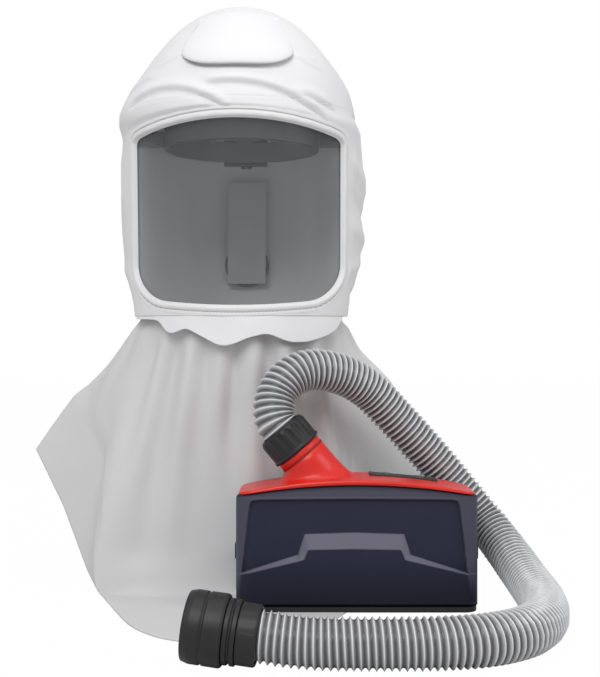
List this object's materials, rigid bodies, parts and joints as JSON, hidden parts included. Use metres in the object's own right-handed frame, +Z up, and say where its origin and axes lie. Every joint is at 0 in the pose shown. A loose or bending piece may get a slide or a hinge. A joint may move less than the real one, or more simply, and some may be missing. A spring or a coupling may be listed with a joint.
{
  "type": "powered air respirator",
  "caption": "Cloth hood with a clear bent visor and a shoulder cape, a hinged-front blower unit and a ribbed breathing hose with a turning connector.",
  "frame": {"origin": "on the floor under the hood's upright axis", "axes": "+Z up, front of the visor towards -Y, blower to the wearer's left at +X"},
  "size_m": [0.5369, 0.7074, 0.628],
  "materials": {
    "hood_cloth": "coated white cloth",
    "cape_cloth": "coated white cloth",
    "clear_sheet": "clear bent sheet",
    "elastic": "woven elastic",
    "harness_plastic": "moulded",
    "sweatband_foam": "padded cloth",
    "black_plastic": "fine moulded grain",
    "duct_plastic": "moulded",
    "navy_plastic": "fine moulded grain",
    "red_plastic": "satin moulded",
    "steel": "turned",
    "button_rubber": "soft touch",
    "filter_fleece": "pleated fleece",
    "seal_rubber": "moulded",
    "board_green": "lacquered",
    "hose_grey": "satin ribbed"
  },
  "bodies": {
    "respirator": {"hood_crown": "hood_cloth", "hood_wrap": "hood_cloth", "face_panel": "hood_cloth", "visor": "clear_sheet", "crown_pad": "hood_cloth", "neck_frill": "hood_cloth", "neck_elastic": "elastic", "cape": "cape_cloth", "headband": "harness_plastic", "crown_straps": "harness_plastic", "sweatband": "sweatband_foam", "side_hangers": "harness_plastic", "ratchet_housing": "black_plastic", "inlet_spigot": "black_plastic", "inlet_nut": "black_plastic", "air_duct": "duct_plastic", "base_plate": "black_plastic", "rear_casing": "navy_plastic", "top_shell": "red_plastic", "hinge_pin": "steel", "control_panel": "black_plastic", "belt_loops": "black_plastic", "prefilter": "filter_fleece", "filter": "filter_fleece", "filter_gasket": "seal_rubber", "fan_housing": "duct_plastic", "motor": "steel", "circuit_board": "board_green", "casing_screws": "steel", "outlet_ring": "seal_rubber", "hose": "hose_grey", "hose_cuff": "black_plastic", "connector_body": "black_plastic", "connector_seal": "seal_rubber"},
    "cover": {"filter_cover": "navy_plastic"},
    "left_latch": {"latch_left": "black_plastic"},
    "right_latch": {"latch_right": "black_plastic"},
    "power_key": {"power_button": "button_rubber"},
    "mode_key": {"mode_button": "button_rubber"},
    "rotor": {"impeller": "duct_plastic", "motor_shaft": "steel"},
    "battery_pack": {"battery": "black_plastic"},
    "collar": {"outlet_collar": "black_plastic"},
    "lock_ring": {"connector_ring": "black_plastic"},
    "size_knob": {"ratchet_knob": "black_plastic"}
  },
  "joints": [
    {"name": "cover_hinge", "type": "hinge", "parent": "respirator", "child": "cover", "pos_m": [0.119, -0.19415, 0.01295], "axis": [1, 0, 0], "range_deg": [0, 80]},
    {"name": "left_latch_press", "type": "slide", "parent": "respirator", "child": "left_latch", "axis": [1, 0, 0], "range_m": [0, 0.0025], "stiffness_N_per_m": 400, "springref_m": -0.002},
    {"name": "right_latch_press", "type": "slide", "parent": "respirator", "child": "right_latch", "axis": [-1, 0, 0], "range_m": [0, 0.0025], "stiffness_N_per_m": 400, "springref_m": -0.002},
    {"name": "power_press", "type": "slide", "parent": "respirator", "child": "power_key", "axis": [-0.0912, 0, -0.9958], "range_m": [0, 0.001], "stiffness_N_per_m": 300, "springref_m": -0.001},
    {"name": "mode_press", "type": "slide", "parent": "respirator", "child": "mode_key", "axis": [-0.0912, 0, -0.9958], "range_m": [0, 0.001], "stiffness_N_per_m": 300, "springref_m": -0.001},
    {"name": "rotor_spin", "type": "hinge", "parent": "respirator", "child": "rotor", "pos_m": [0.119, -0.15, 0.0742], "axis": [0, 1, 0], "continuous": true},
    {"name": "battery_slide", "type": "slide", "parent": "respirator", "child": "battery_pack", "axis": [-1, 0, 0], "range_m": [0, 0.1]},
    {"name": "collar_turn", "type": "hinge", "parent": "respirator", "child": "collar", "pos_m": [0.085, -0.166, 0.12538], "axis": [-0.6428, 0, 0.766], "continuous": true},
    {"name": "lock_ring_turn", "type": "hinge", "parent": "respirator", "child": "lock_ring", "pos_m": [0.033, -0.3725, 0.026], "axis": [-0.9871, 0.1037, 0.1219], "range_deg": [-45, 45]},
    {"name": "size_knob_turn", "type": "hinge", "parent": "respirator", "child": "size_knob", "pos_m": [0, 0.1, 0.482], "axis": [0, 1, 0], "continuous": true}
  ]
}
